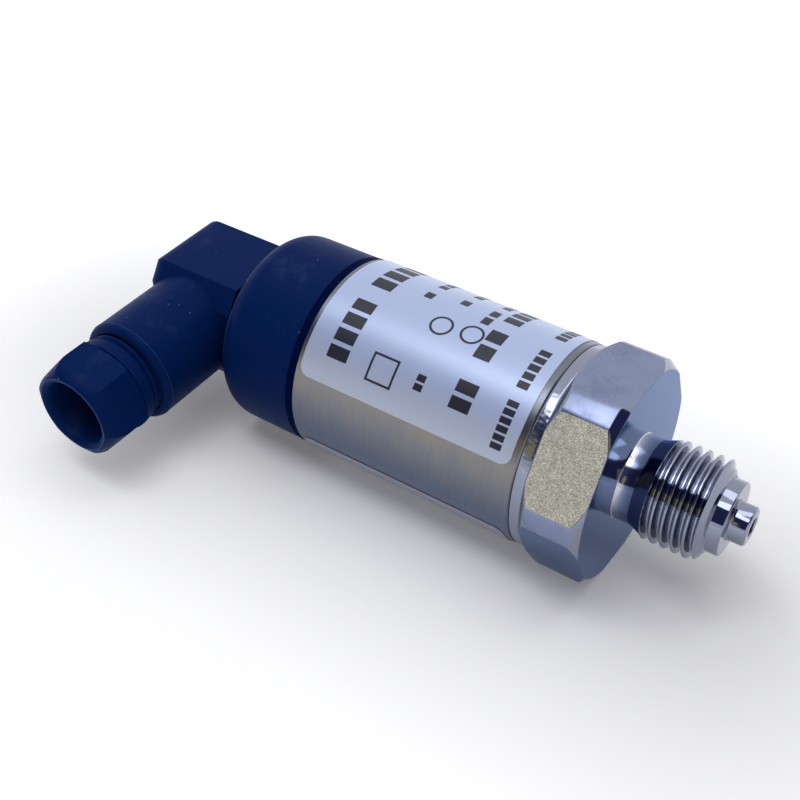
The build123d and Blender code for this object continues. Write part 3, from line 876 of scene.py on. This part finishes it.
# Contacts and gasket under the plug: solids from the frame, dressed as the real ones are made.
# They show when the plug is pulled off: moulded carrier, turned brass bush, tinned blades, nitrile gasket.
rubber = moulded_plastic("nitrile rubber", "#060C28", 0.6)
grey_plastic = moulded_plastic("polyamide, grey", "#2A2C33", 0.45)
brass = plain_material("brass", "#C9A45C", Metallic=1.0, Roughness=0.3)
tinned = plain_material("tinned brass", "#C8C6BE", Metallic=1.0, Roughness=0.32)
zinc = plain_material("zinc-plated steel", "#BFC3CC", Metallic=1.0, Roughness=0.28)
for node, material in {
    "contact_base": black_plastic,
    "threaded_bush": brass,
    "contact_pin_1": tinned,
    "contact_pin_2": tinned,
    "contact_pin_3": tinned,
    "earth_pin": tinned,
    "flat_gasket": rubber,
    "plug_housing": black_plastic,
    "terminal_insert": grey_plastic,
    "socket_contact_1": tinned,
    "socket_contact_2": tinned,
    "socket_contact_3": tinned,
    "earth_socket": tinned,
    "terminal_screws": zinc,
    "gland_seal": rubber,
    "screw_washer": zinc,
    "plug_screw": zinc,
    "thrust_washer": tinned,
}.items():
    for material_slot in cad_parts[node].material_slots:
        material_slot.material = material

# Gland nut: a moulded pressure screw with a hexagon head, rounded over at the front into a dished mouth.
# Its shank screws into the barrel and presses the washer on the rubber seal.
PLUG_TURN = 5.26
BARREL_X = -77.63
NUT_FLAT = 6.4
NUT_TURN = 11.3
NUT_BACK = 23.7
NUT_BACK_R = 6.62
NUT_FRONT = 30.35
NUT_MOUTH = 5.46
NUT_ROUNDING = 2.65
SIDE_COLUMNS = 26
gland_out = Vector((0, -math.cos(math.radians(PLUG_TURN)), -math.sin(math.radians(PLUG_TURN))))
gland_up = Vector((0, -math.sin(math.radians(PLUG_TURN)), math.cos(math.radians(PLUG_TURN))))


def on_gland(b, r, angle):
    """A point round the gland axis, b out from the stem axis; the angle runs from -X toward up."""
    a = math.radians(angle)
    side = Vector((-1, 0, 0)) * math.cos(a) + gland_up * math.sin(a)
    return Vector((BARREL_X * MM, 0, 0)) + gland_out * (b * MM) + side * (r * MM)


from_corner = [60 * k / SIDE_COLUMNS for k in range(SIDE_COLUMNS)]
nut_angles = [NUT_TURN + 60 * side + a for side in range(6) for a in from_corner]
nut_r = [NUT_FLAT / math.cos(math.radians(a - 30)) for side in range(6) for a in from_corner]
# From the end of the shank out: shank, collar, groove, then the hexagon with its chamfered back
nut_stations = [
    (14.9, 3.5),
    (14.9, 5.5),
    (21.8, 5.7),
    (21.9, 6.2),
    (21.9, 6.4),
    (22.0, 6.45),
    (22.8, 6.45),
    (22.9, 6.5),
    (22.95, 6.6),
    (NUT_BACK - 0.15, 6.6),
    (NUT_BACK - 0.1, 6.3),
    (NUT_BACK, 6.3),
    [(NUT_BACK, min(NUT_BACK_R, r)) for r in nut_r],
    [(NUT_BACK + max(0.0, r - NUT_BACK_R) * 0.58, r) for r in nut_r],
]
# The rounding follows the hexagon and comes round to the circle of the mouth
for k in range(17):
    u = math.sin(math.pi / 2 * k / 16)
    share = (1 - u ** 1.5) ** 0.6
    b = NUT_FRONT - NUT_ROUNDING * (1 - u)
    nut_stations.append([(b, NUT_MOUTH + (r - NUT_MOUTH) * share) for r in nut_r])
# The mouth is rounded in, and is a deep funnel down to the bore
nut_stations += [
    (NUT_FRONT - 0.01, NUT_MOUTH - 0.1),
    (NUT_FRONT - 0.06, NUT_MOUTH - 0.28),
    (NUT_FRONT - 0.17, NUT_MOUTH - 0.46),
    (NUT_FRONT - 0.34, NUT_MOUTH - 0.62),
    (NUT_FRONT - 0.6, NUT_MOUTH - 0.78),
    (NUT_FRONT - 1.0, NUT_MOUTH - 0.9),
    (NUT_FRONT - 3.65, 4.35),
    (NUT_FRONT - 6.15, 4.1),
    (NUT_FRONT - 6.65, 3.5),
]
nut = skin("nut", nut_stations, nut_angles, on_gland, black_plastic)
nut.data.materials.append(edge_highlight_plastic)
for polygon in nut.data.polygons:
    out = gland_out.dot(polygon.center) / MM
    reach = (polygon.center - on_gland(out, 0, 0)).length / MM
    # The rim of the mouth takes the pale plastic, as a painted highlight
    if out > NUT_FRONT - 0.03 and reach < NUT_MOUTH + 0.06:
        polygon.material_index = 1
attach(nut, "gland")
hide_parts("gland_nut")
# This placing mirrors what it places, so the shank's thread is drawn left-handed
gland_place = Matrix.Translation((BARREL_X * MM, 0, 0)) @ Matrix((
    (0, -1, 0),
    (gland_out.y, 0, gland_up.y),
    (gland_out.z, 0, gland_up.z),
)).to_4x4()
nut_thread = cut_thread(
    "nut_thread",
    gland_place,
    Start=14.8,
    End=21.85,
    Pitch=1.27,
    Crest_radius=6.22,
    Root_radius=5.75,
    Crest_at=15.4,
    Start_radius=5.6,
    Start_slope=1.0,
    End_radius=5.8,
    End_slope=1.0,
    Around=96,
    Along=220,
    Material=black_plastic,
)
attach(nut_thread, "gland")

# Barrel line: the moulding's parting edge round the end of the barrel, coloured pale as a painted highlight.
# It is a thin ridge of the same polyamide, on the outer edge of the barrel's rounded end.
BARREL_EDGE_B = 19.42
BARREL_EDGE_R = 7.36
RIDGE_R = 0.03
ridge_sections = []
for k in range(8):
    t = 2 * math.pi * k / 8
    ridge_sections.append((BARREL_EDGE_B + RIDGE_R * math.cos(t), BARREL_EDGE_R + RIDGE_R * math.sin(t)))
barrel_line = skin("barrel_line", ridge_sections, round_angles, on_gland, edge_highlight_plastic)
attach(barrel_line, "plug")

# Camera: above the table, in front of the threaded end and to one side.
# Place, turn and lens come from the fit of the object's own circles and edges.
camera_data = bpy.data.cameras.new("camera")
camera_data.sensor_width = 36.0
camera_data.lens = 54.44
camera_data.shift_x = -0.0007
camera_data.shift_y = -0.0011
camera_data.clip_start = 0.005
camera_data.clip_end = 20.0
camera = bpy.data.objects.new("camera", camera_data)
bpy.context.scene.collection.objects.link(camera)
camera_place = Vector((0.021977, -0.111532, 0.094887))
camera_right = Vector((0.82928513, 0.55652506, 0.05065605))
camera_up = Vector((-0.36965106, 0.47831347, 0.79660173))
camera_back = Vector((0.41909936, -0.67933503, 0.60237833))
turn = Matrix((camera_right, camera_up, camera_back)).transposed().to_4x4()
camera.matrix_world = Matrix.Translation(camera_place) @ turn
bpy.context.scene.camera = camera

# Floor: a white table top with the object's soft shadow on it.
# Camera, glossy and transmission rays see it a little brighter than it is lit, so that it reads as white.
# It is lifted least close to the object, where the shadow lies.
FLOOR_Z = -13.65
FLOOR_HALF = 3000.0
OBJECT_MIDDLE = -42.0
OBJECT_HALF = 42.0


def seen_directly(tree):
    """A socket that is 1 for camera, glossy and transmission rays, and 0 for those that carry light."""
    rays = add_node(tree, "ShaderNodeLightPath").outputs
    two = add_node(tree, "ShaderNodeMath", {
        0: rays["Is Camera Ray"],
        1: rays["Is Glossy Ray"],
    }, operation="ADD")
    three = add_node(tree, "ShaderNodeMath", {
        0: two.outputs[0],
        1: rays["Is Transmission Ray"],
    }, operation="ADD", use_clamp=True)
    return three.outputs[0]


floor_white, tree, shader = new_material("white table, matt", Base_Color=colour("#F2F3F6"), Roughness=0.8)
where = add_node(tree, "ShaderNodeTexCoord").outputs["Object"]
apart = add_node(tree, "ShaderNodeSeparateXYZ", {"Vector": where})
# How far a spot lies from the object's length, as the distance from a line 84 mm long
beside = add_node(tree, "ShaderNodeMath", {0: apart.outputs["X"], 1: -OBJECT_MIDDLE * MM}, operation="ADD")
beside = add_node(tree, "ShaderNodeMath", {0: beside.outputs[0]}, operation="ABSOLUTE")
beside = add_node(tree, "ShaderNodeMath", {0: beside.outputs[0], 1: OBJECT_HALF * MM}, operation="SUBTRACT")
beside = add_node(tree, "ShaderNodeMath", {0: beside.outputs[0], 1: 0.0}, operation="MAXIMUM")
away = add_node(tree, "ShaderNodeCombineXYZ", {"X": beside.outputs[0], "Y": apart.outputs["Y"]})
away = add_node(tree, "ShaderNodeVectorMath", {0: away.outputs[0]}, operation="LENGTH")
near_lift = add_node(tree, "ShaderNodeMapRange", {
    "Value": away.outputs["Value"],
    "From Min": 0.008,
    "From Max": 0.040,
    "To Min": 0.12,
    "To Max": 0.40,
})
far_lift = add_node(tree, "ShaderNodeMapRange", {
    "Value": away.outputs["Value"],
    "From Min": 0.04,
    "From Max": 0.6,
    "To Max": 0.55,
})
lift = add_node(tree, "ShaderNodeMath", {0: near_lift.outputs[0], 1: far_lift.outputs[0]}, operation="ADD")
lift = add_node(tree, "ShaderNodeMath", {0: seen_directly(tree), 1: lift.outputs[0]}, operation="MULTIPLY")
shader.inputs["Emission Color"].default_value = colour("#FFFFFF")
tree.links.new(lift.outputs[0], shader.inputs["Emission Strength"])
floor_bm = bmesh.new()
floor_corners = [(-1, -1), (1, -1), (1, 1), (-1, 1)]
floor_bm.faces.new([
    floor_bm.verts.new((x * FLOOR_HALF * MM, y * FLOOR_HALF * MM, FLOOR_Z * MM)) for x, y in floor_corners
])
floor = finish_mesh(floor_bm, "floor", floor_white)

# Flags: black card round the camera's side of the table, above the camera's view.
# Bright steel needs something dark to reflect; two warm grey cards stand in front of them.
FLAG_AWAY = 600.0


def flag(name, material, azimuths, elevations, away=FLAG_AWAY):
    """A curved card; the azimuth runs from -Y toward +X, the elevation from the table up, in degrees."""
    bm = bmesh.new()
    rows = []
    for k in range(13):
        a = math.radians(azimuths[0] + (azimuths[1] - azimuths[0]) * k / 12)
        row = []
        for e in elevations:
            up = math.radians(e)
            row.append(bm.verts.new((
                away * MM * math.cos(up) * math.sin(a),
                -away * MM * math.cos(up) * math.cos(a),
                away * MM * math.sin(up),
            )))
        rows.append(row)
    for one, two in zip(rows, rows[1:]):
        for i in range(len(elevations) - 1):
            bm.faces.new((one[i], two[i], two[i + 1], one[i + 1]))
    finish_mesh(bm, name, material)


# Both cards glow faintly too, as dim lamps, so that the steel reflects them in navy and warm tones
black_card = plain_material(
    "black card",
    "#14182C",
    Roughness=0.9,
    Emission_Color=colour("#2D325C"),
    Emission_Strength=1.0,
)
warm_card = plain_material(
    "warm grey card",
    "#D8C48C",
    Roughness=0.9,
    Emission_Color=colour("#D0C49C"),
    Emission_Strength=0.3,
)
flag("flag", black_card, (-65, 115), (11, 26, 42, 57))
flag("warm_flag", warm_card, (-36, -3), (13, 31), FLAG_AWAY - 20)
flag("warm_flag_side", warm_card, (30, 76), (13, 36), FLAG_AWAY - 20)

# Light: soft lamps above the table and a plain white room.
# The room gives half the light its looks promise, so that the lamps still shape the object.
bpy.context.scene.view_settings.view_transform = "Standard"
ROOM_LIGHT = 0.52
world = bpy.data.worlds.new("room")
world.use_nodes = True
bpy.context.scene.world = world
tree = world.node_tree
room = tree.nodes["Background"]
room.inputs["Color"].default_value = colour("#FFFFFF")
strength = add_node(tree, "ShaderNodeMapRange", {
    "Value": seen_directly(tree),
    "To Min": ROOM_LIGHT,
    "To Max": 1.0,
})
tree.links.new(strength.outputs[0], room.inputs["Strength"])


def lamp(name, place, target, width, length, radiance):
    """A flat soft white lamp that faces the target, with its brightness as the steel sees it. Metres."""
    data = bpy.data.lights.new(name, "AREA")
    data.shape = "RECTANGLE"
    data.size = width
    data.size_y = length
    data.energy = radiance * math.pi * width * length
    holder = bpy.data.objects.new(name, data)
    bpy.context.scene.collection.objects.link(holder)
    direction = Vector(target) - Vector(place)
    holder.rotation_euler = direction.to_track_quat("-Z", "Y").to_euler()
    holder.location = place


lamp("lamp over the front", (-0.10, -0.22, 0.60), (-0.02, 0.0, 0.0), 0.60, 0.22, 2.4)
lamp("lamp overhead", (-0.05, 0.02, 0.62), (-0.02, 0.0, 0.0), 0.60, 0.18, 1.7)
